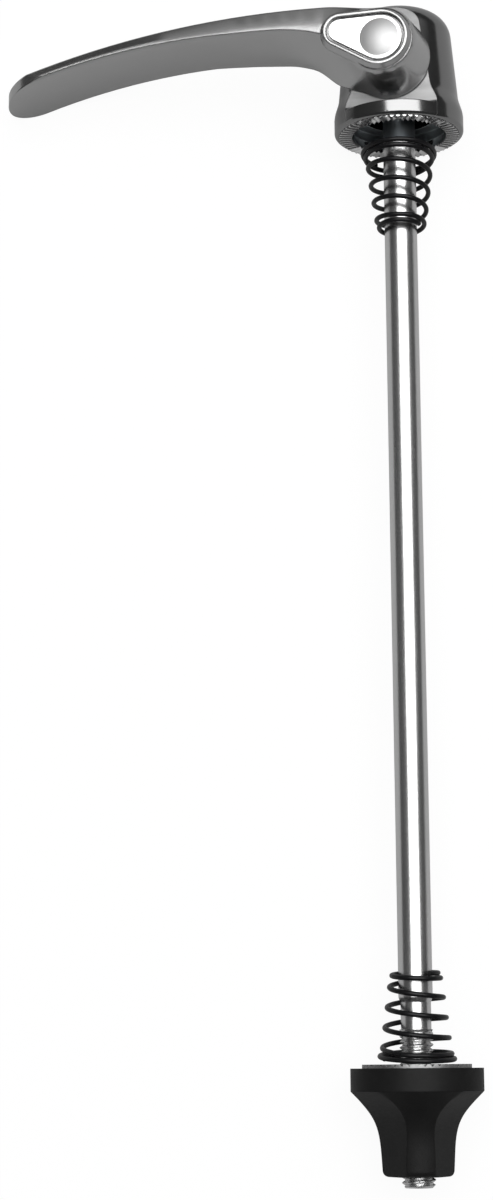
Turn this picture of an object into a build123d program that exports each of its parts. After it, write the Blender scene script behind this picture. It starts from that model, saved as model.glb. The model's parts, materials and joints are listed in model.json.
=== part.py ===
"""Quick release skewer with a closed cam, lying at rest with its lever closed.

The rod lies along Y, with the head at +Y and the nut at -Y, and Z points up from the table.
The origin is on the rod axis, in the plane of the head's serrated clamp face.
"""
from math import asin, atan2, ceil, cos, hypot, pi, sin, sqrt, tan
import os

from build123d import *

# Rod: a plain shank, a reduced neck and a threaded end
ROD_DIAMETER = 5.0
THREAD_DIAMETER = 4.9
NECK_DIAMETER = 4.45
CLAMP_LENGTH = 141.6
NECK_START = 9.6
NECK_TAPER = 0.7
THREAD_START = 5.0
THREAD_PROUD = 1.6
END_CHAMFER = 0.5

# Housing: a turned cap with a flange and a flat front
HOUSING_HEIGHT = 19.6
FLANGE_RADIUS = 10.0
FLANGE_HEIGHT = 2.6
WALL_FOOT_RADIUS = 9.25
WALL_FOOT_HEIGHT = 6.0
WALL_TOP_RADIUS = 8.0
CROWN_RADIUS = 4.0
LIP_RADIUS = 0.6
FLAT_DEPTH = 7.0
LEDGE_HEIGHT = 2.5
LEDGE_FILLET = 0.5
CAVITY_RADIUS = 7.3
CAVITY_HEIGHT = 3.0
ROD_BORE_RADIUS = 5.35
ROD_BORE_HEIGHT = 16.8

# Serrated clamp ring
RING_RADIUS = 9.3
RING_THICKNESS = 1.5
TOOTH_PROUD = 0.25
TOOTH_DEPTH = 0.36
RING_TEETH = 60

# Cam spindle
CAM_HEIGHT = 10.05
CAM_THROW = 1.0
CAM_RADIUS = 2.7
JOURNAL_RADIUS = 3.8
TAIL_RADIUS = 1.6
CAM_UNEVENNESS = 0.22
TAIL_END = 8.5
FACE_END_RADIUS = 2.1
FACE_REACH = 6.0
FACE_RISE = 1.65
FACE_DEPTH = 4.5
FACE_SUNK = 0.2
FACE_BEVEL = 0.4
DOME_RADIUS = 2.95
DOME_HEIGHT = 0.65

# Retaining ring behind the housing
RECESS_RADIUS = 3.6
RECESS_FLOOR = 6.9
CLIP_RADIUS = 3.1
CLIP_THICKNESS = 0.7
CLIP_GAP = 1.9
GROOVE_DEPTH = 0.35

# Rod eye
EYE_RADIUS = 5.2
EYE_HALF_THICKNESS = 2.9
EYE_WALL = 2.2
EYE_ROUND = 1.5
EYE_NECK_LENGTH = 2.6

# Lever
BOSS_RADIUS = 6.3
BOSS_FRONT_RADIUS = 5.2
BOSS_TOP_ANGLE = 90.0
BOSS_GAP = 0.3
BLADE_BACK = 3.1
BLADE_FRONT = 15.5
TIP_REACH = 60.7
TIP_BACK_RADIUS = 4.6
TIP_FRONT_RADIUS = 7.6
SHOULDER_REACH = 9.3
SHOULDER_LENGTH = 7.9
SHOULDER_RADIUS = 4.0
TOP_START = (9.5, 16.2)
TOP_MIDDLE = (38.0, 14.3)
TOP_END_HEIGHT = 8.6
UNDERSIDE_START = (23.5, 13.0)
UNDERSIDE_MIDDLE = (42.0, 11.6)
UNDERSIDE_END_HEIGHT = 6.85
BACK_HEEL = ((8.0, 6.6), (11.1, 9.4), (16.0, 11.6))
BACK_HEEL_ANGLE = 240.0
FRONT_HEEL = ((7.6, 10.6), (12.4, 12.4))
FRONT_HEEL_ANGLE = 231.0
RIM_WIDTH = 0.5
RIM_HEIGHT = 1.0
RIM_TAPER = 25.0
EDGE_BEVEL = 0.3
BAND_SLANT_START = 2.8
BAND_SLANT_MIDDLE = 1.4
BAND_SLANT_END = 1.2
BAND_DEPTH = 0.55

# Springs: conical wire with closed ends, the wide end at the clamp face
WIRE_DIAMETER = 0.75
SPRING_WIDE_DIAMETER = 12.1
SPRING_NARROW_DIAMETER = 7.2
SPRING_TURNS = 6.55
WIDE_CLOSED_TURNS = 1.7
NARROW_CLOSED_TURNS = 1.2
CLOSED_PITCH = 0.74
OPEN_PITCH = 2.92
SPRING_STEPS = 8
SPRING_DROOP = 5.5
UPPER_SPRING_GAP = 1.7
UPPER_SPRING_PHASE = -144.0
LOWER_SPRING_PHASE = 234.0

# Nut
NUT_RADIUS = 9.7
NUT_RIM_HEIGHT = 3.3
NUT_HEIGHT = 15.4
NUT_WAIST_RADIUS = 6.5
NUT_WAIST_HEIGHT = 7.3
NUT_FOOT_RADIUS = 5.25
NUT_FOOT_ROUND = 0.9
SCALLOP_COUNT = 3
SCALLOP_RIM_RADIUS = 9.0
SCALLOP_WAIST_RADIUS = 5.0
SCALLOP_FOOT_RADIUS = 4.1
SCALLOP_RIM_SLOPE = 0.7
INSERT_RADIUS = 8.0
INSERT_PROUD = 0.55
INSERT_THICKNESS = 1.6
INSERT_SLEEVE_RADIUS = 3.4
INSERT_TEETH = 45
INSERT_LAND_RADIUS = 6.3
NUT_FLOOR = 1.2

# Angles
FULL_TURN = 360.0
ON_CORNER = (45, 0, 0)

# Clearances
RUNNING_CLEARANCE = 0.05
SEAT_CLEARANCE = 0.02
SPRING_CLEARANCE = 0.05

# The lever's tip rests on the table, so the head leans about the rod until the tip and the flange are level
tip_reach = TIP_REACH - TIP_BACK_RADIUS
tip_depth = BLADE_BACK + TIP_BACK_RADIUS
LEAN = atan2(tip_depth, tip_reach) + asin((FLANGE_RADIUS - TIP_BACK_RADIUS) / hypot(tip_reach, tip_depth))
right = Vector(cos(LEAN), 0, sin(LEAN))
front = Vector(-sin(LEAN), 0, cos(LEAN))

# HEAD faces the leaning head's front, SIDE its left side, and PLAN lies across the rod
HEAD = Plane(origin=(0, 0, 0), x_dir=right, z_dir=front)
SIDE = Plane(origin=(0, 0, 0), x_dir=front, z_dir=-right)
PLAN = Plane(origin=(0, 0, 0), x_dir=right, z_dir=(0, 1, 0))
ROD_AXIS = Axis.Y

# Places that follow from the sizes above
rod_radius = ROD_DIAMETER / 2
nut_face = -CLAMP_LENGTH
rod_end = nut_face - INSERT_PROUD - NUT_HEIGHT - THREAD_PROUD
cam_closed = CAM_HEIGHT + CAM_THROW
# The rod is driven at an even rate, so the eye's slot leaves room for the cam's true circle
slot_half_width = CAM_RADIUS + CAM_THROW + RUNNING_CLEARANCE
slot_half_height = CAM_RADIUS + CAM_UNEVENNESS * CAM_THROW + RUNNING_CLEARANCE
eye_top = cam_closed + slot_half_height + EYE_WALL
eye_foot = cam_closed - slot_half_height - EYE_WALL
boss_back = FLAT_DEPTH + BOSS_GAP
rim_front = BLADE_FRONT + RIM_HEIGHT
rim_foot_width = RIM_WIDTH + (RIM_HEIGHT + EDGE_BEVEL) * tan(RIM_TAPER * pi / (FULL_TURN / 2))
face_front = rim_front - FACE_SUNK
pocket_floor = face_front - FACE_DEPTH
cam_half_length = EYE_HALF_THICKNESS + RUNNING_CLEARANCE
clip_seat = RECESS_FLOOR + RUNNING_CLEARANCE
dome_sphere = (DOME_RADIUS**2 + DOME_HEIGHT**2) / (2 * DOME_HEIGHT)
hinge_axis = Axis(origin=(0, CAM_HEIGHT, 0), direction=front)

os.makedirs("parts", exist_ok=True)


# Housing: one turned profile, then the flat front and the holes for the cam spindle
with BuildPart() as housing:
    with BuildSketch() as housing_profile:
        with BuildLine():
            wall_top = (WALL_TOP_RADIUS, HOUSING_HEIGHT)
            wall_foot = (WALL_FOOT_RADIUS, WALL_FOOT_HEIGHT)
            flange_top = (FLANGE_RADIUS, FLANGE_HEIGHT)
            lip = TOOTH_PROUD
            seat_radius = RING_RADIUS + SEAT_CLEARANCE
            Polyline((0, ROD_BORE_HEIGHT), (0, HOUSING_HEIGHT), wall_top, wall_foot)
            Spline(
                wall_foot,
                flange_top,
                tangents=[(WALL_FOOT_RADIUS - WALL_TOP_RADIUS, WALL_FOOT_HEIGHT - HOUSING_HEIGHT), (0, -1)],
            )
            Polyline(
                flange_top,
                (FLANGE_RADIUS, lip),
                (seat_radius, lip),
                (seat_radius, RING_THICKNESS),
                (CAVITY_RADIUS, RING_THICKNESS),
                (CAVITY_RADIUS, CAVITY_HEIGHT),
                (ROD_BORE_RADIUS, CAVITY_HEIGHT),
                (ROD_BORE_RADIUS, ROD_BORE_HEIGHT),
                (0, ROD_BORE_HEIGHT),
            )
        make_face()
        outer = housing_profile.vertices()
        fillet(outer.filter_by(lambda v: v.X == WALL_TOP_RADIUS and v.Y == HOUSING_HEIGHT), CROWN_RADIUS)
        lip_corner = housing_profile.vertices().filter_by(lambda v: v.X == FLANGE_RADIUS and v.Y == lip)
        fillet(lip_corner, LIP_RADIUS)
    revolve(axis=ROD_AXIS)
    with BuildSketch(SIDE) as front_cut:
        with Locations((FLAT_DEPTH, LEDGE_HEIGHT)):
            Rectangle(FLANGE_RADIUS, HOUSING_HEIGHT, align=(Align.MIN, Align.MIN))
        fillet(front_cut.vertices().sort_by(Axis.X)[:2].sort_by(Axis.Y)[0], LEDGE_FILLET)
    extrude(amount=2 * FLANGE_RADIUS, both=True, mode=Mode.SUBTRACT)
    with BuildSketch(HEAD):
        with Locations((0, CAM_HEIGHT)):
            Circle(JOURNAL_RADIUS + RUNNING_CLEARANCE)
    extrude(amount=FLANGE_RADIUS, mode=Mode.SUBTRACT)
    with BuildSketch(HEAD):
        with Locations((0, CAM_HEIGHT)):
            Circle(TAIL_RADIUS + RUNNING_CLEARANCE)
    extrude(amount=-FLANGE_RADIUS, mode=Mode.SUBTRACT)
    with BuildSketch(HEAD.offset(-RECESS_FLOOR)):
        with Locations((0, CAM_HEIGHT)):
            Circle(RECESS_RADIUS)
    extrude(amount=-FLANGE_RADIUS, mode=Mode.SUBTRACT)
housing.part.label = "housing"
export_step(housing.part, "parts/housing.step")


# Clamp ring: a steel washer with radial teeth, made by a square bar turned on its corner
with BuildPart(PLAN) as clamp_ring:
    with BuildSketch(PLAN):
        Circle(RING_RADIUS)
        Circle(CAVITY_RADIUS, mode=Mode.SUBTRACT)
    extrude(amount=RING_THICKNESS)
    tooth_bar = sqrt(2) * TOOTH_DEPTH
    with PolarLocations((RING_RADIUS + CAVITY_RADIUS) / 2, RING_TEETH):
        Box(RING_RADIUS, tooth_bar, tooth_bar, rotation=ON_CORNER, mode=Mode.SUBTRACT)
clamp_ring.part.label = "clamp_ring"
export_step(clamp_ring.part, "parts/clamp_ring.step")


def lever_outline(boss_radius, heel, heel_angle, inset=0, slant=(0, 0, 0)):
    """Side outline of the lever in the HEAD plane: boss, arched top, thin tip and hollow underside."""
    centre = (0, CAM_HEIGHT)
    boss = CenterArc(centre, boss_radius - inset, heel_angle, FULL_TURN + BOSS_TOP_ANGLE - heel_angle)
    top_start = (-TOP_START[0], TOP_START[1] - slant[0])
    tip_top = (-TIP_REACH, TOP_END_HEIGHT - slant[2])
    tip_foot = (-TIP_REACH, UNDERSIDE_END_HEIGHT + inset)
    hollow = (-UNDERSIDE_START[0], UNDERSIDE_START[1] + inset)
    Spline(boss @ 1, top_start, tangents=[boss % 1, (-1, 0)])
    ThreePointArc(top_start, (-TOP_MIDDLE[0], TOP_MIDDLE[1] - slant[1]), tip_top)
    Line(tip_top, tip_foot)
    ThreePointArc(tip_foot, (-UNDERSIDE_MIDDLE[0], UNDERSIDE_MIDDLE[1] + inset), hollow)
    heel_points = [(-reach, height + inset) for reach, height in reversed(heel)]
    Spline(hollow, *heel_points, boss @ 0, tangents=[(1, 0), boss % 0])


# Lever: lofted from a thick back outline to a slim front one with a slanted band, then cut to its plan
with BuildPart() as lever:
    with BuildSketch(HEAD.offset(boss_back)) as lever_back:
        with BuildLine():
            lever_outline(BOSS_RADIUS, BACK_HEEL, BACK_HEEL_ANGLE)
        make_face()
    with BuildSketch(HEAD.offset(BLADE_FRONT - BAND_DEPTH)):
        with BuildLine():
            lever_outline(BOSS_FRONT_RADIUS, FRONT_HEEL, FRONT_HEEL_ANGLE)
        make_face()
    with BuildSketch(HEAD.offset(BLADE_FRONT)):
        with BuildLine():
            band_slant = (BAND_SLANT_START, BAND_SLANT_MIDDLE, BAND_SLANT_END)
            lever_outline(BOSS_FRONT_RADIUS, FRONT_HEEL, FRONT_HEEL_ANGLE, EDGE_BEVEL, band_slant)
        make_face()
    loft(ruled=True)
    extrude(lever_back.sketch, amount=-(boss_back - BLADE_BACK))
    with BuildSketch(PLAN) as lever_plan:
        with BuildLine():
            Polyline(
                (2 * BOSS_RADIUS, -boss_back),
                (-SHOULDER_REACH, -boss_back),
                (-SHOULDER_REACH - SHOULDER_LENGTH, -BLADE_BACK),
                (-TIP_REACH, -BLADE_BACK),
                (-TIP_REACH, -BLADE_FRONT),
                (2 * BOSS_RADIUS, -BLADE_FRONT),
                close=True,
            )
        make_face()
        tip_corners = lever_plan.vertices().group_by(Axis.X)[0].sort_by(Axis.Y)
        fillet(tip_corners[-1], TIP_BACK_RADIUS)
        tip_corners = lever_plan.vertices().group_by(Axis.Y)[0].sort_by(Axis.X)
        fillet(tip_corners[0], TIP_FRONT_RADIUS)
        shoulder_ends = (SHOULDER_REACH, SHOULDER_REACH + SHOULDER_LENGTH)
        shoulder = lever_plan.vertices().filter_by(lambda v: -v.X in shoulder_ends)
        fillet(shoulder, SHOULDER_RADIUS)
    extrude(amount=HOUSING_HEIGHT, mode=Mode.INTERSECT)
    with BuildSketch(HEAD.offset(BLADE_FRONT - EDGE_BEVEL)):
        with Locations((0, CAM_HEIGHT)):
            Circle(JOURNAL_RADIUS + rim_foot_width)
        with Locations((-FACE_REACH, CAM_HEIGHT + FACE_RISE)):
            Circle(FACE_END_RADIUS + rim_foot_width)
        make_hull()
    with BuildSketch(HEAD.offset(rim_front)):
        with Locations((0, CAM_HEIGHT)):
            Circle(JOURNAL_RADIUS + RIM_WIDTH)
        with Locations((-FACE_REACH, CAM_HEIGHT + FACE_RISE)):
            Circle(FACE_END_RADIUS + RIM_WIDTH)
        make_hull()
    loft(ruled=True)
    with BuildSketch(HEAD.offset(pocket_floor)):
        with Locations((0, CAM_HEIGHT)):
            Circle(JOURNAL_RADIUS + SEAT_CLEARANCE)
        with Locations((-FACE_REACH, CAM_HEIGHT + FACE_RISE)):
            Circle(FACE_END_RADIUS + SEAT_CLEARANCE)
        make_hull()
    extrude(amount=2 * FACE_DEPTH, mode=Mode.SUBTRACT)
    with BuildSketch(HEAD):
        with Locations((0, CAM_HEIGHT)):
            Circle(JOURNAL_RADIUS + SEAT_CLEARANCE)
    extrude(amount=BLADE_FRONT, mode=Mode.SUBTRACT)
lever.part.label = "lever"
export_step(lever.part, "parts/lever.step")


# Cam spindle: two journals on the hinge axis, the eccentric cam between them and the keyed teardrop end
with BuildPart() as cam_spindle:
    with BuildSketch(HEAD.offset(-TAIL_END)):
        with Locations((0, CAM_HEIGHT)):
            Circle(TAIL_RADIUS)
    extrude(amount=TAIL_END)
    with BuildSketch(HEAD.offset(-cam_half_length)):
        with Locations((0, cam_closed)):
            Circle(CAM_RADIUS)
    extrude(amount=2 * cam_half_length)
    with BuildSketch(HEAD.offset(cam_half_length)):
        with Locations((0, CAM_HEIGHT)):
            Circle(JOURNAL_RADIUS)
    extrude(amount=pocket_floor - cam_half_length)
    with BuildSketch(HEAD.offset(pocket_floor)):
        with Locations((0, CAM_HEIGHT)):
            Circle(JOURNAL_RADIUS)
        with Locations((-FACE_REACH, CAM_HEIGHT + FACE_RISE)):
            Circle(FACE_END_RADIUS)
        make_hull()
    extrude(amount=FACE_DEPTH)
    chamfer(cam_spindle.faces().sort_by(hinge_axis)[-1].edges(), FACE_BEVEL)
    # The dome is a cap of a sphere, turned about the hinge axis
    with BuildSketch(SIDE):
        with Locations((face_front + DOME_HEIGHT - dome_sphere, CAM_HEIGHT)):
            Circle(dome_sphere)
        with Locations((face_front, CAM_HEIGHT)):
            Rectangle(DOME_HEIGHT, DOME_RADIUS, align=(Align.MIN, Align.MIN), mode=Mode.INTERSECT)
    revolve(axis=hinge_axis)
    with BuildSketch(HEAD.offset(-clip_seat - CLIP_THICKNESS - SEAT_CLEARANCE)):
        with Locations((0, CAM_HEIGHT)):
            Circle(2 * TAIL_RADIUS)
            Circle(TAIL_RADIUS - GROOVE_DEPTH, mode=Mode.SUBTRACT)
    extrude(amount=CLIP_THICKNESS + 2 * SEAT_CLEARANCE, mode=Mode.SUBTRACT)
cam_spindle.part.label = "cam_spindle"
export_step(cam_spindle.part, "parts/cam_spindle.step")


# Retaining ring: an open snap ring in the spindle's groove, in the recess behind the housing
with BuildPart() as retaining_ring:
    with BuildSketch(HEAD.offset(-clip_seat - CLIP_THICKNESS)):
        with Locations((0, CAM_HEIGHT)):
            Circle(CLIP_RADIUS)
            Circle(TAIL_RADIUS - GROOVE_DEPTH + SEAT_CLEARANCE, mode=Mode.SUBTRACT)
            Rectangle(CLIP_GAP, CLIP_RADIUS, align=(Align.CENTER, Align.MAX), mode=Mode.SUBTRACT)
    extrude(amount=CLIP_THICKNESS)
retaining_ring.part.label = "retaining_ring"
export_step(retaining_ring.part, "parts/retaining_ring.step")


# Draw rod: turned along its length, with the eye flattened and slotted for the cam
with BuildPart() as draw_rod:
    with BuildSketch():
        with BuildLine():
            thread_top = nut_face + THREAD_START
            neck_top = nut_face + NECK_START
            thread_radius = THREAD_DIAMETER / 2
            neck_radius = NECK_DIAMETER / 2
            Polyline(
                (0, eye_top),
                (EYE_RADIUS - EYE_ROUND, eye_top),
            )
            RadiusArc((EYE_RADIUS - EYE_ROUND, eye_top), (EYE_RADIUS, eye_top - EYE_ROUND), EYE_ROUND)
            Polyline(
                (EYE_RADIUS, eye_top - EYE_ROUND),
                (EYE_RADIUS, eye_foot),
                (rod_radius, eye_foot - EYE_NECK_LENGTH),
                (rod_radius, neck_top),
                (neck_radius, neck_top - NECK_TAPER),
                (neck_radius, thread_top),
                (thread_radius, thread_top - (thread_radius - neck_radius)),
                (thread_radius, rod_end + END_CHAMFER),
                (thread_radius - END_CHAMFER, rod_end),
                (0, rod_end),
                (0, eye_top),
            )
        make_face()
    revolve(axis=ROD_AXIS)
    # Flats in front of and behind the eye, down to the rod's shank
    with BuildSketch(SIDE):
        flat_foot = eye_foot - EYE_NECK_LENGTH
        with Locations((EYE_HALF_THICKNESS, flat_foot), (-EYE_HALF_THICKNESS - EYE_RADIUS, flat_foot)):
            Rectangle(EYE_RADIUS, HOUSING_HEIGHT, align=(Align.MIN, Align.MIN))
    extrude(amount=2 * EYE_RADIUS, both=True, mode=Mode.SUBTRACT)
    with BuildSketch(HEAD):
        with Locations((0, cam_closed)):
            SlotOverall(2 * slot_half_width, 2 * slot_half_height)
    extrude(amount=EYE_RADIUS, both=True, mode=Mode.SUBTRACT)
draw_rod.part.label = "draw_rod"
export_step(draw_rod.part, "parts/draw_rod.step")


def spring_path(seat, direction, phase):
    """Points along a conical left-hand coil that hangs on the rod, with its wide end at the seat."""
    sag = SPRING_NARROW_DIAMETER / 2 - WIRE_DIAMETER - rod_radius - SPRING_CLEARANCE
    wide = (SPRING_WIDE_DIAMETER - WIRE_DIAMETER) / 2
    narrow = (SPRING_NARROW_DIAMETER - WIRE_DIAMETER) / 2
    open_turns = SPRING_TURNS - WIDE_CLOSED_TURNS - NARROW_CLOSED_TURNS
    rise = OPEN_PITCH * open_turns + CLOSED_PITCH * (SPRING_TURNS - open_turns)
    count = ceil(SPRING_TURNS * SPRING_STEPS)
    coil = []
    for index in range(count + 1):
        turn = SPRING_TURNS * index / count
        open_turn = min(max(turn - WIDE_CLOSED_TURNS, 0), open_turns)
        along = OPEN_PITCH * open_turn + CLOSED_PITCH * (turn - open_turn) - rise
        radius = wide + (narrow - wide) * turn / SPRING_TURNS
        angle = FULL_TURN * direction * turn - phase
        upright = Vector(0, direction * along, radius).rotate(Axis.Y, -angle)
        coil.append(upright.rotate(Axis.X, direction * SPRING_DROOP))
    lowest = min(direction * point.Y for point in coil)
    seated = Vector(0, seat + direction * (WIRE_DIAMETER / 2 - lowest), -sag)
    return [point + seated for point in coil]


def make_spring(label, seat, direction, phase):
    """A wire swept along its coil, from the wide end along the rod."""
    with BuildPart() as spring:
        with BuildLine() as coil:
            Spline(*spring_path(seat, direction, phase))
        with BuildSketch(Plane(origin=coil.line @ 0, z_dir=coil.line % 0)):
            Circle(WIRE_DIAMETER / 2)
        sweep(path=coil.line, is_frenet=True)
    spring.part.label = label
    export_step(spring.part, f"parts/{label}.step")


make_spring("upper_spring", -UPPER_SPRING_GAP, -1, UPPER_SPRING_PHASE)
make_spring("lower_spring", nut_face + SPRING_CLEARANCE, 1, LOWER_SPRING_PHASE)


# Nut: a turned body with a broad rim and a slim grip, scalloped for three fingers
with BuildPart() as nut_body:
    with BuildSketch():
        with BuildLine():
            rim_top = nut_face - INSERT_PROUD
            rim_foot = rim_top - NUT_RIM_HEIGHT
            waist = rim_top - NUT_WAIST_HEIGHT
            foot = rim_top - NUT_HEIGHT
            seat_floor = nut_face - INSERT_THICKNESS
            Line((INSERT_RADIUS, rim_top), (NUT_RADIUS, rim_top))
            Line((NUT_RADIUS, rim_top), (NUT_RADIUS, rim_foot))
            Spline(
                (NUT_RADIUS, rim_foot),
                (NUT_WAIST_RADIUS, waist),
                (NUT_FOOT_RADIUS, foot + NUT_FOOT_ROUND),
                tangents=[(-1, -1), (NUT_FOOT_RADIUS - NUT_WAIST_RADIUS, waist - rim_foot - NUT_HEIGHT)],
            )
            foot_edge = (NUT_FOOT_RADIUS - NUT_FOOT_ROUND, foot)
            RadiusArc((NUT_FOOT_RADIUS, foot + NUT_FOOT_ROUND), foot_edge, NUT_FOOT_ROUND)
            Polyline(
                foot_edge,
                (thread_radius + RUNNING_CLEARANCE, foot),
                (thread_radius + RUNNING_CLEARANCE, foot + NUT_FLOOR),
                (INSERT_SLEEVE_RADIUS, foot + NUT_FLOOR),
                (INSERT_SLEEVE_RADIUS, seat_floor),
                (INSERT_RADIUS, seat_floor),
                (INSERT_RADIUS, rim_top),
            )
        make_face()
    revolve(axis=ROD_AXIS)
    # Each scallop is a hollow profile, drawn beside the grip and cut straight across it
    for number in range(SCALLOP_COUNT):
        bearing = (2 * number + 1) * pi / SCALLOP_COUNT
        outward = Vector(sin(bearing), 0, cos(bearing))
        with BuildSketch(Plane(origin=(0, 0, 0), x_dir=outward, z_dir=outward.cross(Vector(0, 1, 0)))):
            with BuildLine():
                clear_radius = 2 * NUT_RADIUS
                rim_edge = (SCALLOP_RIM_RADIUS, rim_foot)
                grip_foot = (SCALLOP_FOOT_RADIUS, foot)
                grip_slope = (SCALLOP_FOOT_RADIUS - SCALLOP_WAIST_RADIUS, foot - waist)
                Spline(
                    rim_edge,
                    (SCALLOP_WAIST_RADIUS, waist),
                    grip_foot,
                    tangents=[(-1, -SCALLOP_RIM_SLOPE), grip_slope],
                )
                Polyline(
                    grip_foot,
                    (SCALLOP_FOOT_RADIUS, foot - NUT_FLOOR),
                    (clear_radius, foot - NUT_FLOOR),
                    (clear_radius, rim_foot),
                    rim_edge,
                )
            make_face()
        extrude(amount=NUT_RADIUS, both=True, mode=Mode.SUBTRACT)
nut_body.part.label = "nut_body"
export_step(nut_body.part, "parts/nut_body.step")


# Nut insert: the threaded sleeve and its serrated face, in one piece of steel
with BuildPart(PLAN.offset(nut_face)) as nut_insert:
    with BuildSketch():
        with BuildLine():
            insert_radius = INSERT_RADIUS - SEAT_CLEARANCE
            sleeve_radius = INSERT_SLEEVE_RADIUS - SEAT_CLEARANCE
            bore_radius = thread_radius + RUNNING_CLEARANCE
            insert_floor = seat_floor + SEAT_CLEARANCE
            sleeve_foot = foot + NUT_FLOOR + SEAT_CLEARANCE
            Polyline(
                (bore_radius, nut_face),
                (insert_radius, nut_face),
                (insert_radius, insert_floor),
                (sleeve_radius, insert_floor),
                (sleeve_radius, sleeve_foot),
                (bore_radius, sleeve_foot),
                close=True,
            )
        make_face()
    revolve(axis=ROD_AXIS)
    land_width = INSERT_RADIUS - INSERT_LAND_RADIUS
    with PolarLocations(INSERT_LAND_RADIUS + land_width, INSERT_TEETH):
        Box(2 * land_width, tooth_bar, tooth_bar, rotation=ON_CORNER, mode=Mode.SUBTRACT)
nut_insert.part.label = "nut_insert"
export_step(nut_insert.part, "parts/nut_insert.step")
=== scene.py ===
# %% [markdown]
# # A quick release skewer
# A quick release skewer holds a bicycle wheel in its frame without tools. A thin steel rod runs through the
# hollow axle, a lever with a hidden cam pulls on one end of it, and a nut with finger scallops takes the other end.
# Here it lies on a white table, seen from above, with the lever closed.
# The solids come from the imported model, so every piece below starts from a place that is already right, and the
# work is about surfaces: smooth metal, springs of wire, a real screw thread, and light that shows them.

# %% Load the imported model
import json
import math

import bmesh
import bpy
from mathutils import Matrix, Vector


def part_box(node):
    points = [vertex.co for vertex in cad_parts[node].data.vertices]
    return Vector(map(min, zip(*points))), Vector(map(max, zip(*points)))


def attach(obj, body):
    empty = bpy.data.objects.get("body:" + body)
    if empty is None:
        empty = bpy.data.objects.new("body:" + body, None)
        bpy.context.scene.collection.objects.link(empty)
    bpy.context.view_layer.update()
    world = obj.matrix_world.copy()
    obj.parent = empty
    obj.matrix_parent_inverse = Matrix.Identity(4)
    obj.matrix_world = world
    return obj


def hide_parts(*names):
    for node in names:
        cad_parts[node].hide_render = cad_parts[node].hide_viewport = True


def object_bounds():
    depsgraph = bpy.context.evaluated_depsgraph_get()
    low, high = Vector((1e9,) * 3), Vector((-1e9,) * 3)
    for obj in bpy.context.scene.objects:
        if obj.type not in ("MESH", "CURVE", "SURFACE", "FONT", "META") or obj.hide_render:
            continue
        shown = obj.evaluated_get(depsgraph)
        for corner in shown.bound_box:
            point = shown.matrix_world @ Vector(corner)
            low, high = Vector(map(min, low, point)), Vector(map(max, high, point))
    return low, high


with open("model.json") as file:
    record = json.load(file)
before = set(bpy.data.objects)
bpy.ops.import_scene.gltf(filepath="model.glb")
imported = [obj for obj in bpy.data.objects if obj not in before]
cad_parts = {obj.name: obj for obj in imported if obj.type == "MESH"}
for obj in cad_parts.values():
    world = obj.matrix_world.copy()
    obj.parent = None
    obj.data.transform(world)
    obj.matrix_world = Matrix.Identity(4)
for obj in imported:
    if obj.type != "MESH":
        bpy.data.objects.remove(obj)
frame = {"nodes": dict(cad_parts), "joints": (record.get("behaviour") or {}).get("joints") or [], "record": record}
solids_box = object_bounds()
scene = bpy.context.scene
MM = 0.001
carrier = {node: body for body, nodes in frame["record"]["behaviour"]["bodies"].items() for node in nodes}
print("nodes:", ", ".join(sorted(carrier)))

# %% [markdown]
# ## The camera
# The photograph was taken with a long lens from above the rod, tilted a little towards the head. A camera is a
# place, a direction and a focal length, and all three were worked out beforehand from points that can be told
# apart both in the picture and on the skewer. Blender measures its 36 mm sensor along the longer side of the
# picture, which here is the height of 1200 pixels.

# %% Place the camera
PICTURE_HEIGHT = 1200
FOCAL_PIXELS = 2555.6
SENSOR_WIDTH = 36.0
NEAREST, FARTHEST = 0.01, 100.0
CAMERA_PLACE = Vector((-24.25, -142.03, 377.6)) * MM
CAMERA_PITCH = math.radians(10.39)
CAMERA_ROLL = math.radians(-0.441)

lens = bpy.data.cameras.new("camera")
lens.sensor_width = SENSOR_WIDTH
lens.lens = SENSOR_WIDTH * FOCAL_PIXELS / PICTURE_HEIGHT
lens.clip_start, lens.clip_end = NEAREST, FARTHEST
camera = bpy.data.objects.new("camera", lens)
scene.collection.objects.link(camera)
turn = Matrix.Rotation(CAMERA_PITCH, 4, "X") @ Matrix.Rotation(CAMERA_ROLL, 4, "Z")
camera.matrix_world = Matrix.Translation(CAMERA_PLACE) @ turn
scene.camera = camera
print("focal length: %.1f mm" % lens.lens)

# %% [markdown]
# ## Writing node trees as sums
# A node tree is only arithmetic drawn as boxes. A small class holds one socket, and adding or multiplying such
# sockets in Python puts the matching Math nodes into the tree, so a formula stays readable. One method makes every
# other kind of node. The same class serves materials and Geometry Nodes, because both use the same Math node.

# %% A class for sockets
class Flow:
    """One output socket of a node tree. Arithmetic on it adds Math nodes to that tree."""

    def __init__(self, tree, socket=None):
        self.tree = tree
        self.socket = socket

    def node(self, kind, settings=None, values=None, output=0):
        made = self.tree.nodes.new(kind)
        for name, value in (settings or {}).items():
            setattr(made, name, value)
        for key, value in (values or {}).items():
            if isinstance(value, Flow):
                self.tree.links.new(value.socket, made.inputs[key])
            else:
                made.inputs[key].default_value = value
        return Flow(self.tree, made.outputs[output] if len(made.outputs) else None)

    def other(self, name):
        return Flow(self.tree, self.socket.node.outputs[name])

    def math(self, operation, first=0.0, second=0.0):
        return self.node("ShaderNodeMath", {"operation": operation}, {0: first, 1: second})

    def __add__(self, number):
        return self.math("ADD", self, number)

    def __sub__(self, number):
        return self.math("SUBTRACT", self, number)

    def __mul__(self, number):
        return self.math("MULTIPLY", self, number)

    def __truediv__(self, number):
        return self.math("DIVIDE", self, number)

    def __rsub__(self, number):
        return self.math("SUBTRACT", number, self)

    __radd__ = __add__
    __rmul__ = __mul__


print("sockets can be added, subtracted, multiplied and divided")

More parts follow.
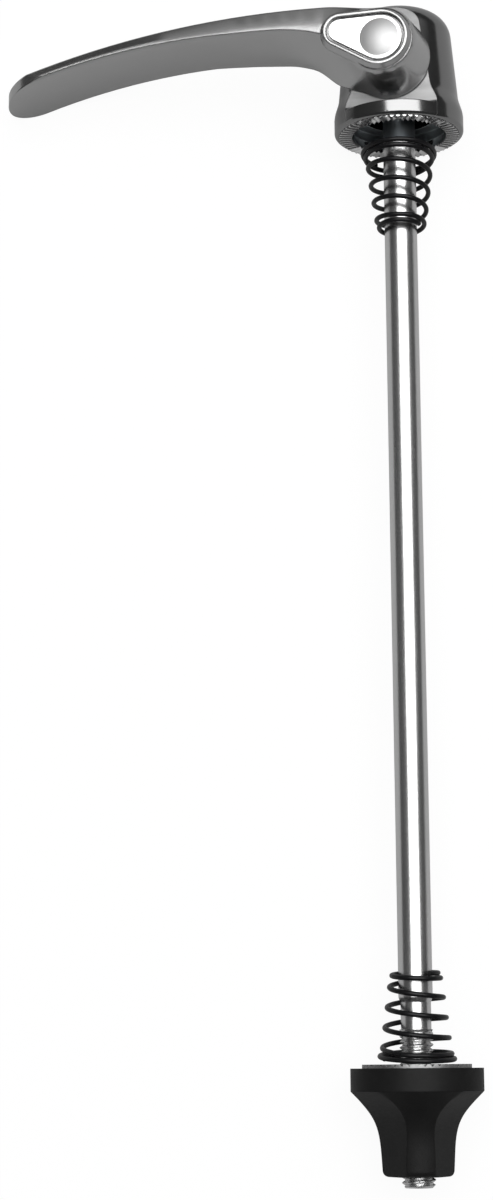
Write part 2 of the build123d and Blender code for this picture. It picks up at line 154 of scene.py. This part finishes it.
# %% [markdown]
# ## The finishes
# Each finish reads Object coordinates, which are metres on the skewer itself, so a pattern keeps its true scale and
# stays put when the camera moves. A noise with a scale of 1000 has a grain of about a millimetre. Stretching the
# coordinates before they reach the noise draws it out into lines, as polishing and turning do.
# No real edge is perfectly sharp, and on metal a rounded edge catches a line of light. A Bevel node rounds the
# edges in the shading alone, which suits small edges on a mesh of long triangles. The Mix node has sockets for
# several kinds of value under the same names, so the ones for colours are picked by their number.

# %% Helpers for finishes
BUMP_DISTANCE = 0.1 * MM
BEVEL_SAMPLES = 8
MIX_SHARE, MIX_FIRST, MIX_SECOND, MIX_RESULT = 0, 6, 7, 2


def grey(level):
    return (level, level, level, 1.0)


def start_finish(name):
    made = bpy.data.materials.new(name)
    made.use_nodes = True
    made.node_tree.nodes.clear()
    flow = Flow(made.node_tree)
    place = flow.node("ShaderNodeTexCoord").other("Object")
    return made, flow, place


def noise(flow, place, scale, stretch=(1.0, 1.0, 1.0), detail=2.0):
    drawn = flow.node("ShaderNodeMapping", values={"Vector": place, "Scale": stretch})
    return flow.node("ShaderNodeTexNoise", values={"Vector": drawn, "Scale": scale, "Detail": detail})


def blend(flow, share, first, second):
    colours = {MIX_SHARE: share, MIX_FIRST: first, MIX_SECOND: second}
    return flow.node("ShaderNodeMix", {"data_type": "RGBA"}, colours, output=MIX_RESULT)


def bump(flow, height, strength, edge_radius):
    rounded = flow.node("ShaderNodeBevel", {"samples": BEVEL_SAMPLES}, {"Radius": edge_radius})
    return flow.node("ShaderNodeBump", values={
        "Height": height, "Strength": strength, "Distance": BUMP_DISTANCE, "Normal": rounded})


def end_finish(flow, values):
    shader = flow.node("ShaderNodeBsdfPrincipled", values=values)
    flow.node("ShaderNodeOutputMaterial", values={"Surface": shader})


finishes = {}
print("helpers for finishes are ready")

# %% [markdown]
# ### Polished aluminium
# The lever is forged and then polished on a soft wheel, which leaves a faint haze and very fine lines along the
# blade. A mirror without them looks like liquid. The haze is a slow noise on the roughness, and the lines are a
# noise drawn out along the blade, in the bump.

# %% Lever finish
lever_alloy, flow, place = start_finish("polished_alloy")
haze = noise(flow, place, scale=260.0, detail=3.0)
wheel_lines = noise(flow, place, scale=2600.0, stretch=(0.06, 1.0, 1.0))
end_finish(flow, {
    "Base Color": grey(0.50),
    "Metallic": 1.0,
    "Roughness": 0.17 + 0.10 * haze,
    "Normal": bump(flow, wheel_lines, strength=0.05, edge_radius=0.35 * MM),
})
finishes["lever"] = lever_alloy
print("made", lever_alloy.name)

# %% [markdown]
# ### Turned aluminium
# The cap of the cam housing is turned on a lathe about the rod's axis, which leaves rings that run round it. A
# noise that changes only along Y has the same value all the way round, which is exactly what a lathe tool does.
# The flat that the lever turns on is milled afterwards and is a little duller. Every point of it has the same depth
# along the hinge's axis, so that depth picks it out. The cavity inside the serrated ring is painted darker, a painted
# shade for the shade that falls in that recess, and it is duller; the distance from the rod's axis picks it out.

# %% Housing finish
turned_alloy, flow, place = start_finish("turned_alloy")
hinge = frame["joints"][0]
FLAT_DEPTH = 7.0 * MM
FLAT_MARGIN = 0.05 * MM
CAVITY_RADIUS = 7.35 * MM
CAVITY_HEIGHT = 3.05 * MM
# Painted shade: a dark colour for the shade that falls inside the serrated ring's cavity.
CAVITY_PAINTED_SHADE = (0.25, 0.27, 0.28, 1.0)
haze = noise(flow, place, scale=300.0, detail=3.0)
rings = noise(flow, place, scale=4200.0, stretch=(0.0, 1.0, 0.0))
cutter_lines = noise(flow, place, scale=900.0, stretch=(0.12, 1.0, 0.12))

product = flow.node("ShaderNodeVectorMath", {"operation": "DOT_PRODUCT"}, {0: place, 1: hinge["axis"]})
off_flat = flow.math("ABSOLUTE", product.other("Value") + FLAT_DEPTH)
on_flat = flow.math("LESS_THAN", off_flat, FLAT_MARGIN)
spot = flow.node("ShaderNodeSeparateXYZ", values={0: place})
from_rod = flow.math("SQRT", spot.other("X") * spot.other("X") + spot.other("Z") * spot.other("Z"))
below_roof = flow.math("LESS_THAN", spot.other("Y"), CAVITY_HEIGHT)
in_cavity = flow.math("LESS_THAN", from_rod, CAVITY_RADIUS) * below_roof

milled = blend(flow, cutter_lines, grey(0.35), grey(0.20))
machined = blend(flow, on_flat, grey(0.27), milled)
end_finish(flow, {
    # The cavity's dark colour is painted shade.
    "Base Color": blend(flow, in_cavity, machined, CAVITY_PAINTED_SHADE),
    "Metallic": 1.0,
    "Roughness": 0.12 + 0.08 * haze + 0.22 * on_flat + 0.22 * in_cavity,
    "Normal": bump(flow, rings, strength=0.05, edge_radius=0.2 * MM),
})
finishes["housing"] = turned_alloy
print("made", turned_alloy.name)

# %% [markdown]
# ### Steel for the cam, the rings and the rod
# The small steel pieces differ in how bright and how even they are. The serrated ring has a bright plating, so that
# each tooth mirrors something else, the insert's plating is duller, and the rod is drawn through a die, which leaves
# straight lines along its length. The rod's end inside the head is painted darker and duller, a painted shade for
# the shade that falls on it inside the housing.

# %% Steel finishes
# Each row: name, shade, lowest roughness, spread of the roughness, stretch of the grain
STEELS = {
    "clamp_ring": ("ring_plate", 0.90, 0.08, 0.10, (1.0, 1.0, 1.0)),
    "retaining_ring": ("clip_steel", 0.45, 0.25, 0.15, (1.0, 1.0, 1.0)),
    "nut_insert": ("insert_plate", 0.40, 0.42, 0.16, (1.0, 1.0, 1.0)),
    "draw_rod": ("drawn_steel", 0.76, 0.22, 0.08, (1.0, 0.03, 1.0)),
}
# Painted shade: above this height the rod's end inside the housing gets a dark colour and a duller surface.
SHADED_END_FROM = -0.8 * MM
ROD_END_PAINTED_SHADE = (0.21, 0.23, 0.245, 1.0)
GRAIN_SCALE = 1800.0
for node, (name, shade, smooth, spread, stretch) in STEELS.items():
    steel, flow, place = start_finish(name)
    grain = noise(flow, place, GRAIN_SCALE, stretch=stretch, detail=3.0)
    height = flow.node("ShaderNodeSeparateXYZ", values={0: place}).other("Y")
    shaded_rod_end = flow.math("GREATER_THAN", height, SHADED_END_FROM) * float(node == "draw_rod")
    end_finish(flow, {
        # The dark colour on the rod's end is painted shade.
        "Base Color": blend(flow, shaded_rod_end, grey(shade), ROD_END_PAINTED_SHADE),
        "Metallic": 1.0,
        "Roughness": smooth + spread * grain + 0.25 * shaded_rod_end,
        "Normal": bump(flow, grain, strength=0.02, edge_radius=0.08 * MM),
    })
    finishes[node] = steel
    print("made", name)

# %% [markdown]
# ### The cam's end face
# The cam's teardrop end is ground flat and polished, but the round dome on it is left as the lathe turned it. The
# distance from the hinge's axis tells the two apart. The axis goes through a known point in a known direction, so
# the cross product of the way to that point with the direction has just that distance as its length.

# %% Cam finish
DOME_RADIUS = 2.95 * MM
RING_PITCH = 0.12 * MM
ground_steel, flow, place = start_finish("ground_steel")
grain = noise(flow, place, GRAIN_SCALE, detail=3.0)
from_pin = flow.node("ShaderNodeVectorMath", {"operation": "SUBTRACT"}, {0: place, 1: hinge["pos_m"]})
sideways = flow.node("ShaderNodeVectorMath", {"operation": "CROSS_PRODUCT"}, {0: from_pin, 1: hinge["axis"]})
from_axis = flow.node("ShaderNodeVectorMath", {"operation": "LENGTH"}, {0: sideways}).other("Value")
on_dome = flow.math("LESS_THAN", from_axis, DOME_RADIUS)
turned_rings = flow.math("SINE", from_axis * (math.tau / RING_PITCH)) * on_dome
end_finish(flow, {
    "Base Color": grey(0.74),
    "Metallic": 1.0,
    "Roughness": 0.10 + 0.08 * grain + 0.44 * on_dome,
    "Normal": bump(flow, turned_rings, strength=0.05, edge_radius=0.1 * MM),
})
finishes["cam_spindle"] = ground_steel
print("made", ground_steel.name)

# %% [markdown]
# ### Black wire and black plastic
# The springs are wire with a smooth black coat, so they show small sharp highlights. The nut is moulded in a tool
# with a fine spark-eroded grain, so it is much duller, and its grain is seen only close up.

# %% Spring and nut finishes
wire_black, flow, place = start_finish("wire_black")
coat_flow = noise(flow, place, scale=900.0)
end_finish(flow, {
    "Base Color": (0.010, 0.010, 0.011, 1.0),
    "Specular IOR Level": 0.3,
    "Roughness": 0.22 + 0.16 * coat_flow,
    "Normal": bump(flow, coat_flow, strength=0.05, edge_radius=0.05 * MM),
})
finishes["upper_spring"] = wire_black
finishes["lower_spring"] = wire_black

nut_plastic, flow, place = start_finish("nut_plastic")
spark_grain = noise(flow, place, scale=5200.0, detail=3.0)
mottle = noise(flow, place, scale=420.0)
end_finish(flow, {
    "Base Color": blend(flow, mottle, grey(0.010), grey(0.018)),
    "Specular IOR Level": 0.16,
    "Roughness": 0.42 + 0.14 * spark_grain,
    "Normal": bump(flow, spark_grain, strength=0.16, edge_radius=0.35 * MM),
})
finishes["nut_body"] = nut_plastic
print("made", wire_black.name, "and", nut_plastic.name)

# %% [markdown]
# ## Smooth copies of the solids
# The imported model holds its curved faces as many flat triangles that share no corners, so a polished surface would
# show every one of them. A copy whose corners are merged can be shaded smooth. Edges that turn by more than a
# chosen angle stay sharp, because those are the real edges of the solid.

# %% Copy, merge and smooth
MERGE_DISTANCE = 0.002 * MM
EDGE_ANGLE = math.radians(20.0)


def merge_corners(mesh):
    work = bmesh.new()
    work.from_mesh(mesh)
    bmesh.ops.remove_doubles(work, verts=work.verts, dist=MERGE_DISTANCE)
    bmesh.ops.dissolve_degenerate(work, edges=work.edges, dist=MERGE_DISTANCE)
    work.to_mesh(mesh)
    work.free()


def merged_copy(node):
    mesh = frame["nodes"][node].data.copy()
    mesh.name = node + "_surface"
    merge_corners(mesh)
    return mesh


def soften(mesh, edge_angle=EDGE_ANGLE):
    if "custom_normal" in mesh.attributes:
        mesh.attributes.remove(mesh.attributes["custom_normal"])
    mesh.shade_smooth()
    mesh.set_sharp_from_angle(angle=edge_angle)


def add_piece(name, mesh, node):
    piece = bpy.data.objects.new(name, mesh)
    scene.collection.objects.link(piece)
    mesh.materials.clear()
    mesh.materials.append(finishes[node])
    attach(piece, carrier[node])
    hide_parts(node)
    print("%s: %d faces" % (name, len(mesh.polygons)))
    return piece


surfaces = {node: merged_copy(node) for node in carrier}
print("copied %d solids" % len(surfaces))

# %% [markdown]
# ## The wall round the lever's pocket
# The cam's end sits in a pocket of the lever, close to the hollow underside of the heel. A forging keeps a wall
# there, which tapers from the foot of the pocket's rim into the heel. The pocket's outline is a loop round two
# circles. In each direction one of the circles reaches farther out, and its outermost point belongs to the loop.
# Five such loops, each with its own depth and its own distance from the pocket in millimetres, make a closed ring.
# A Boolean union joins it to the lever, and only the part that the heel doesn't cover remains to be seen.

# %% Build the wall
POCKET_CIRCLES = ((Vector((0.0, 0.0)), 3.8), (Vector((-6.0, 1.65)), 2.1))
WALL_LOOPS = ((12.3, 0.08), (12.3, 0.20), (15.2, 1.04), (15.4, 0.93), (15.4, 0.08))
WALL_STEPS = 120
front = -Vector(hinge["axis"]).normalized()
up = Vector((0.0, 1.0, 0.0))
pin = Vector(hinge["pos_m"])
pin -= front * pin.dot(front)


def pocket_point(step, out):
    angle = math.tau * step / WALL_STEPS
    way = Vector((math.cos(angle), math.sin(angle)))
    middle, radius = max(POCKET_CIRCLES, key=lambda circle: circle[0].dot(way) + circle[1])
    return middle + way * (radius + out)


def pocket_wall():
    points = []
    for depth, out in WALL_LOOPS:
        for step in range(WALL_STEPS):
            spot = pocket_point(step, out)
            points.append(pin + (up.cross(front) * spot.x + up * spot.y + front * depth) * MM)
    faces = []
    for loop in range(len(WALL_LOOPS)):
        here, there = loop * WALL_STEPS, (loop + 1) % len(WALL_LOOPS) * WALL_STEPS
        for step in range(WALL_STEPS):
            following = (step + 1) % WALL_STEPS
            faces.append((here + step, here + following, there + following, there + step))
    mesh = bpy.data.meshes.new("pocket_wall")
    mesh.from_pydata(points, [], faces)
    return mesh


wall = pocket_wall()
print("wall: %d faces" % len(wall.polygons))


# %% Join the wall to the lever
def plain_mesh(piece):
    bpy.context.view_layer.update()
    graph = bpy.context.evaluated_depsgraph_get()
    mesh = bpy.data.meshes.new_from_object(piece.evaluated_get(graph))
    bpy.data.objects.remove(piece)
    return mesh


def united(mesh, addition):
    base = bpy.data.objects.new("base", mesh)
    extra = bpy.data.objects.new("extra", addition)
    for item in (base, extra):
        scene.collection.objects.link(item)
    join = base.modifiers.new("join", "BOOLEAN")
    join.operation = "UNION"
    join.solver = "EXACT"
    join.object = extra
    joined = plain_mesh(base)
    bpy.data.objects.remove(extra)
    merge_corners(joined)
    return joined


bare_count = len(surfaces["lever"].polygons)
surfaces["lever"] = united(surfaces["lever"], wall)
print("lever: %d faces bare, %d with the wall" % (bare_count, len(surfaces["lever"].polygons)))

# %% [markdown]
# ## A fair underside
# The underside sweeps from the blade into the heel, and whoever polishes the lever works on it until no wave is left
# in its outline. The solid has a slight wave there, because its back steps forward at the shoulder. Two soft swells
# of a few tenths of a millimetre, one down and one up, take it out. They act fully at the back, where the outline
# is, and fade away towards the front.

# %% Fair the underside
# Each swell has a middle and a half width along the lever, from its pin, and a rise, all in millimetres.
SWELLS = ((22.6, 6.5, -0.31), (16.4, 4.0, 0.25))
# Depths are from the rod's axis towards the front.
FULL_DEPTH, NO_DEPTH = 7.3, 15.0
# The underside is all below this height over the pin.
UNDERSIDE_TOP = 4.0


def swell(reach):
    rise = 0.0
    for middle, half_width, top in SWELLS:
        share = min(abs(reach - middle) / half_width, 1.0)
        rise += top * math.cos(share * math.pi / 2) ** 2
    return rise


largest = 0.0
for vertex in surfaces["lever"].vertices:
    offset = (vertex.co - pin) / MM
    if offset.dot(up) < UNDERSIDE_TOP:
        fade = (NO_DEPTH - offset.dot(front)) / (NO_DEPTH - FULL_DEPTH)
        rise = swell(-offset.dot(up.cross(front))) * min(max(fade, 0.0), 1.0)
        vertex.co += up * rise * MM
        largest = max(largest, abs(rise))
print("largest move: %.2f mm" % largest)

# %% Add the smooth pieces
SMOOTHED = ("housing", "lever", "cam_spindle", "clamp_ring", "retaining_ring", "nut_body", "nut_insert")
for node in SMOOTHED:
    soften(surfaces[node])
    add_piece(node + "_piece", surfaces[node], node)

# %% [markdown]
# ## The springs
# Two conical springs keep the skewer centred in the axle. A cone of wire follows a rule: the radius shrinks
# steadily, and the rise per turn is small where the end coils lie closed and larger in between. Geometry Nodes
# work this out for every point of a line, bend the line into the coil, and sweep a circle along it.

# %% The spring tree
def add_input(tree, name, kind, value=None):
    socket = tree.interface.new_socket(name=name, in_out="INPUT", socket_type=kind)
    if value is not None:
        socket.default_value = value


def set_input(modifier, name, value):
    for item in modifier.node_group.interface.items_tree:
        if item.in_out == "INPUT" and item.name == name:
            modifier[item.identifier] = value


STEPS_PER_TURN = 56
WIRE_SIDES = 18
spring_tree = bpy.data.node_groups.new("conical_spring", "GeometryNodeTree")
for name in ("Turns", "Wide radius", "Narrow radius", "Wide closed turns", "Narrow closed turns", "Closed pitch",
             "Open pitch", "Wire radius", "Phase", "Direction", "Droop", "Seat", "Sag"):
    add_input(spring_tree, name, "NodeSocketFloat")
add_input(spring_tree, "Finish", "NodeSocketMaterial")
spring_tree.interface.new_socket(name="Geometry", in_out="OUTPUT", socket_type="NodeSocketGeometry")

flow = Flow(spring_tree)
given = flow.node("NodeGroupInput")
turns, direction = given.other("Turns"), given.other("Direction")
turn_here = flow.node("GeometryNodeInputIndex") / STEPS_PER_TURN
open_turns = turns - given.other("Wide closed turns") - given.other("Narrow closed turns")
past_wide_end = flow.math("MAXIMUM", turn_here - given.other("Wide closed turns"), 0.0)
open_here = flow.math("MINIMUM", past_wide_end, open_turns)
rise = given.other("Open pitch") * open_here + given.other("Closed pitch") * (turn_here - open_here)
narrowing = given.other("Narrow radius") - given.other("Wide radius")
radius = given.other("Wide radius") + narrowing * turn_here / turns
angle = direction * turn_here * math.tau - given.other("Phase")
across = radius * flow.math("SINE", angle) * -1.0
upward = radius * flow.math("COSINE", angle)
along = direction * rise
lean = direction * given.other("Droop")
lean_sine, lean_cosine = flow.math("SINE", lean), flow.math("COSINE", lean)
leant_along = along * lean_cosine - upward * lean_sine
leant_upward = along * lean_sine + upward * lean_cosine
coil_place = flow.node("ShaderNodeCombineXYZ", values={0: across, 1: leant_along, 2: leant_upward})

count = flow.math("ROUND", turns * STEPS_PER_TURN) + 1
line = flow.node("GeometryNodeMeshLine", values={"Count": count})
coil = flow.node("GeometryNodeSetPosition", values={"Geometry": line, "Position": coil_place})
height = flow.node("ShaderNodeSeparateXYZ", values={0: flow.node("GeometryNodeInputPosition")}).other("Y")
lowest = flow.node("GeometryNodeAttributeStatistic", values={
    "Geometry": coil, "Attribute": direction * height}).other("Min")
shift = given.other("Seat") + direction * (given.other("Wire radius") - lowest)
seat_place = flow.node("ShaderNodeCombineXYZ", values={1: shift, 2: given.other("Sag") * -1.0})
seated = flow.node("GeometryNodeSetPosition", values={"Geometry": coil, "Offset": seat_place})
path = flow.node("GeometryNodeMeshToCurve", values={"Mesh": seated})
wire_circle = flow.node("GeometryNodeCurvePrimitiveCircle", values={
    "Resolution": WIRE_SIDES, "Radius": given.other("Wire radius")})
wire = flow.node("GeometryNodeCurveToMesh", values={
    "Curve": path, "Profile Curve": wire_circle, "Fill Caps": True})
whole = flow.node("GeometryNodeRealizeInstances", values={"Geometry": wire})
painted = flow.node("GeometryNodeSetMaterial", values={"Geometry": whole, "Material": given.other("Finish")})
flow.node("NodeGroupOutput", values={"Geometry": painted})
print("spring tree: %d nodes" % len(spring_tree.nodes))

# %% Two springs from one tree
def grow(tree, inputs):
    blank = bpy.data.objects.new(tree.name, bpy.data.meshes.new(tree.name))
    scene.collection.objects.link(blank)
    modifier = blank.modifiers.new(tree.name, "NODES")
    modifier.node_group = tree
    for name, value in inputs.items():
        set_input(modifier, name, value)
    return plain_mesh(blank)


WIRE_DIAMETER = 0.75 * MM
WIDE_RADIUS, NARROW_RADIUS = 6.05 * MM, 3.6 * MM
ROD_RADIUS = 2.5 * MM
REST_GAP = 0.05 * MM
CAP_ANGLE = math.radians(50.0)
SPRING = {
    "Turns": 6.55,
    "Wide radius": WIDE_RADIUS - WIRE_DIAMETER / 2,
    "Narrow radius": NARROW_RADIUS - WIRE_DIAMETER / 2,
    "Wide closed turns": 1.7,
    "Narrow closed turns": 1.2,
    "Closed pitch": 0.74 * MM,
    "Open pitch": 2.92 * MM,
    "Wire radius": WIRE_DIAMETER / 2,
    "Droop": math.radians(5.5),
    "Sag": NARROW_RADIUS - WIRE_DIAMETER - ROD_RADIUS - REST_GAP,
    "Finish": wire_black,
}
upper_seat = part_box("upper_spring")[1].y
lower_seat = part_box("lower_spring")[0].y
SEATS = {
    "upper_spring": (upper_seat, -1.0, math.radians(-144.0)),
    "lower_spring": (lower_seat, 1.0, math.radians(234.0)),
}
for node, (seat, way, phase) in SEATS.items():
    mesh = grow(spring_tree, dict(SPRING, Seat=seat, Direction=way, Phase=phase))
    soften(mesh, CAP_ANGLE)
    add_piece(node + "_piece", mesh, node)
    solid_low, solid_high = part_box(node)
    ends = [vertex.co.y / MM for vertex in mesh.vertices]
    print("%s: solid %.2f to %.2f, wire %.2f to %.2f mm" % (
        node, solid_low.y / MM, solid_high.y / MM, min(ends), max(ends)))

# %% [markdown]
# ## The rod and its thread
# The rod's thread is M5 with a rise of 0.8 mm per turn. The solid has a plain cylinder there. A thread also follows
# a rule: on a grid wrapped round an axis, the radius depends on how far along and how far round a point is, so one
# formula gives the crest, the flanks and the root. The copy of the solid is cut where the thread starts, the threaded
# end takes over from there, and a ring of faces bridges the two open rims, so the rod is one closed surface.

# %% The thread tree
thread_tree = bpy.data.node_groups.new("screw_thread", "GeometryNodeTree")
for name in ("Start", "Length", "Pitch", "Crest radius", "Depth", "Chamfer"):
    add_input(thread_tree, name, "NodeSocketFloat")
add_input(thread_tree, "Finish", "NodeSocketMaterial")
thread_tree.interface.new_socket(name="Geometry", in_out="OUTPUT", socket_type="NodeSocketGeometry")
AROUND = 72
ROWS_PER_PITCH = 14
ROOT_SHARE, FLANK_SHARE = 0.14, 0.68

flow = Flow(thread_tree)
given = flow.node("NodeGroupInput")
length, pitch = given.other("Length"), given.other("Pitch")
rows = flow.math("ROUND", length / pitch * ROWS_PER_PITCH) + 1
grid = flow.node("GeometryNodeMeshGrid", values={
    "Size X": 1.0, "Size Y": 1.0, "Vertices X": AROUND + 1, "Vertices Y": rows})
corner = flow.node("ShaderNodeSeparateXYZ", values={0: flow.node("GeometryNodeInputPosition")})
round_here = corner.other("X") + 0.5
row_here = flow.math("ROUND", (corner.other("Y") + 0.5) * (rows - 1))
share = flow.math("MINIMUM", row_here / (rows - 2), 1.0)
along = share * length
phase = flow.math("FRACT", along / pitch + round_here)
flank = flow.math("ABSOLUTE", phase - 0.5) * 2.0
ridge = flow.math("MINIMUM", flow.math("MAXIMUM", (flank - ROOT_SHARE) / FLANK_SHARE, 0.0), 1.0)
runout = flow.math("MINIMUM", along / pitch, 1.0)
cut = given.other("Depth") * (1 - ridge) * runout
chamfer_room = given.other("Crest radius") - given.other("Chamfer") + (length - along)
thread_radius = flow.math("MINIMUM", given.other("Crest radius") - cut, chamfer_room)
before_end = flow.math("LESS_THAN", row_here, rows - 1.5)
radius = thread_radius * before_end
angle = round_here * math.tau
thread_place = flow.node("ShaderNodeCombineXYZ", values={
    0: radius * flow.math("SINE", angle),
    1: given.other("Start") - along,
    2: radius * flow.math("COSINE", angle)})
wrapped = flow.node("GeometryNodeSetPosition", values={"Geometry": grid, "Position": thread_place})
closed = flow.node("GeometryNodeMergeByDistance", values={"Geometry": wrapped, "Distance": MERGE_DISTANCE})
whole = flow.node("GeometryNodeRealizeInstances", values={"Geometry": closed})
painted = flow.node("GeometryNodeSetMaterial", values={"Geometry": whole, "Material": given.other("Finish")})
flow.node("NodeGroupOutput", values={"Geometry": painted})
print("thread tree: %d nodes" % len(thread_tree.nodes))

# %% Join the thread to the rod
THREAD_RADIUS = 2.45 * MM
THREAD_DEPTH = 0.42 * MM
THREAD_PITCH = 0.8 * MM
END_CHAMFER = 0.5 * MM
THREAD_EDGE_ANGLE = math.radians(34.0)
thread_start = -136.6 * MM
rod_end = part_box("draw_rod")[0].y

shank = surfaces["draw_rod"]
soften(shank)
work = bmesh.new()
work.from_mesh(shank)
everything = work.verts[:] + work.edges[:] + work.faces[:]
bmesh.ops.bisect_plane(
    work, geom=everything, dist=MERGE_DISTANCE, plane_co=(0, thread_start, 0), plane_no=(0, -1, 0),
    clear_outer=True)
thread = grow(thread_tree, {
    "Start": thread_start,
    "Length": thread_start - rod_end,
    "Pitch": THREAD_PITCH,
    "Crest radius": THREAD_RADIUS,
    "Depth": THREAD_DEPTH,
    "Chamfer": END_CHAMFER,
    "Finish": finishes["draw_rod"],
})
soften(thread, THREAD_EDGE_ANGLE)
work.from_mesh(thread)
open_edges = [edge for edge in work.edges if edge.is_boundary]
for edge in open_edges:
    edge.smooth = False
bmesh.ops.bridge_loops(work, edges=open_edges)
still_open = sum(edge.is_boundary for edge in work.edges)
work.to_mesh(shank)
work.free()
add_piece("draw_rod_piece", shank, "draw_rod")
print("threaded length: %.1f mm, open edges: %d" % ((thread_start - rod_end) / MM, still_open))

# %% [markdown]
# ## The table and the light
# The photograph has a white background, one large square soft light above, and dark surroundings. Polished
# metal shows nothing but its surroundings, so these make the picture: the rod has a white line where it mirrors
# the light, a dark band on either side, and a pale edge where it mirrors the table. A dark screen around the table
# stands for the room.

# %% The table
TABLE_SIZE = 24.0
WHITE_TO_CAMERA, WHITE_TO_MIRRORS = 0.84, 0.06
WHITE_STRENGTH = 1.12
square = [Vector(corner) for corner in ((-1, -1), (1, -1), (1, 1), (-1, 1))]
table_height = solids_box[0].z
table_mesh = bpy.data.meshes.new("table")
table_corners = [(*(corner * TABLE_SIZE / 2), table_height) for corner in square]
table_mesh.from_pydata(table_corners, [], [(0, 1, 2, 3)])
table = bpy.data.objects.new("table", table_mesh)
scene.collection.objects.link(table)

table_white, flow, place = start_finish("table_white")
rays = flow.node("ShaderNodeLightPath")
mirrored = flow.math("MAXIMUM", rays.other("Is Glossy Ray"), rays.other("Is Transmission Ray"))
whiteness = rays.other("Is Camera Ray") * WHITE_TO_CAMERA + mirrored * WHITE_TO_MIRRORS
paper = flow.node("ShaderNodeBsdfDiffuse", values={"Color": grey(0.57)})
white = flow.node("ShaderNodeEmission", values={"Color": grey(1.0), "Strength": WHITE_STRENGTH})
mixed = flow.node("ShaderNodeMixShader", values={0: whiteness, 1: paper, 2: white})
flow.node("ShaderNodeOutputMaterial", values={"Surface": mixed})
table_mesh.materials.append(table_white)
print("table at %.1f mm" % (table_height / MM))

# %% The light
LIGHT_HEIGHT = 1.0
LIGHT_RADIANCE = 2.4
LIGHT_LOW, LIGHT_HIGH = Vector((-0.49, -0.30)), Vector((0.66, 0.62))
light_size = LIGHT_HIGH - LIGHT_LOW
light_middle = (LIGHT_HIGH + LIGHT_LOW) / 2

soft_light = bpy.data.lights.new("soft_light", "AREA")
soft_light.shape = "RECTANGLE"
soft_light.size, soft_light.size_y = light_size
soft_light.energy = LIGHT_RADIANCE * math.pi * light_size.x * light_size.y
lamp = bpy.data.objects.new("soft_light", soft_light)
lamp.location = (*light_middle, LIGHT_HEIGHT)
scene.collection.objects.link(lamp)
print("light %.2f by %.2f m at %.2f m" % (light_size.x, light_size.y, LIGHT_HEIGHT))

# %% The dark room
SCREEN_REACH = 0.7
SCREEN_GAP = 2.0 * MM
ROOM_GLOW, SPILL_RISE, SPILL_FROM = 0.05, 0.7, 0.4
screen_low = table_height + SCREEN_GAP
foot = [light_middle + corner * (light_size.x / 2 + SCREEN_REACH) for corner in square]
head = [light_middle + Vector((corner.x * light_size.x, corner.y * light_size.y)) / 2 for corner in square]
corners = [(*point, screen_low) for point in foot] + [(*point, LIGHT_HEIGHT) for point in head]
walls = [(k, (k + 1) % 4, 4 + (k + 1) % 4, 4 + k) for k in range(4)]
screen_mesh = bpy.data.meshes.new("dark_screen")
screen_mesh.from_pydata(corners, [], walls)
screen = bpy.data.objects.new("dark_screen", screen_mesh)
screen.visible_camera = False
scene.collection.objects.link(screen)
screen_grey, flow, place = start_finish("screen_grey")
cloth = flow.node("ShaderNodeBsdfDiffuse", values={"Color": grey(0.10)})
spot = flow.node("ShaderNodeSeparateXYZ", values={0: place})
behind_head = flow.math("GREATER_THAN", spot.other("Y"), LIGHT_HIGH.y)
spill = ROOM_GLOW + SPILL_RISE * flow.math("MAXIMUM", spot.other("Z") - SPILL_FROM, 0.0) * behind_head
glow = flow.node("ShaderNodeEmission", values={"Color": grey(1.0), "Strength": spill})
lit_cloth = flow.node("ShaderNodeAddShader", values={0: cloth, 1: glow})
flow.node("ShaderNodeOutputMaterial", values={"Surface": lit_cloth})
screen_mesh.materials.append(screen_grey)
print("screen with %d walls" % len(walls))

# %% The world
SKY_TO_SURFACES, SKY_TO_EYES = 0.15, 1.0
world = bpy.data.worlds.new("studio")
scene.world = world
world.use_nodes = True
world.node_tree.nodes.clear()
flow = Flow(world.node_tree)
rays = flow.node("ShaderNodeLightPath")
mirrored = flow.math("MAXIMUM", rays.other("Is Glossy Ray"), rays.other("Is Transmission Ray"))
seen = flow.math("MAXIMUM", rays.other("Is Camera Ray"), mirrored)
strength = SKY_TO_SURFACES + (SKY_TO_EYES - SKY_TO_SURFACES) * seen
sky = flow.node("ShaderNodeBackground", values={"Color": grey(1.0), "Strength": strength})
flow.node("ShaderNodeOutputWorld", values={"Surface": sky})
scene.view_settings.view_transform = "Standard"
print("world made")
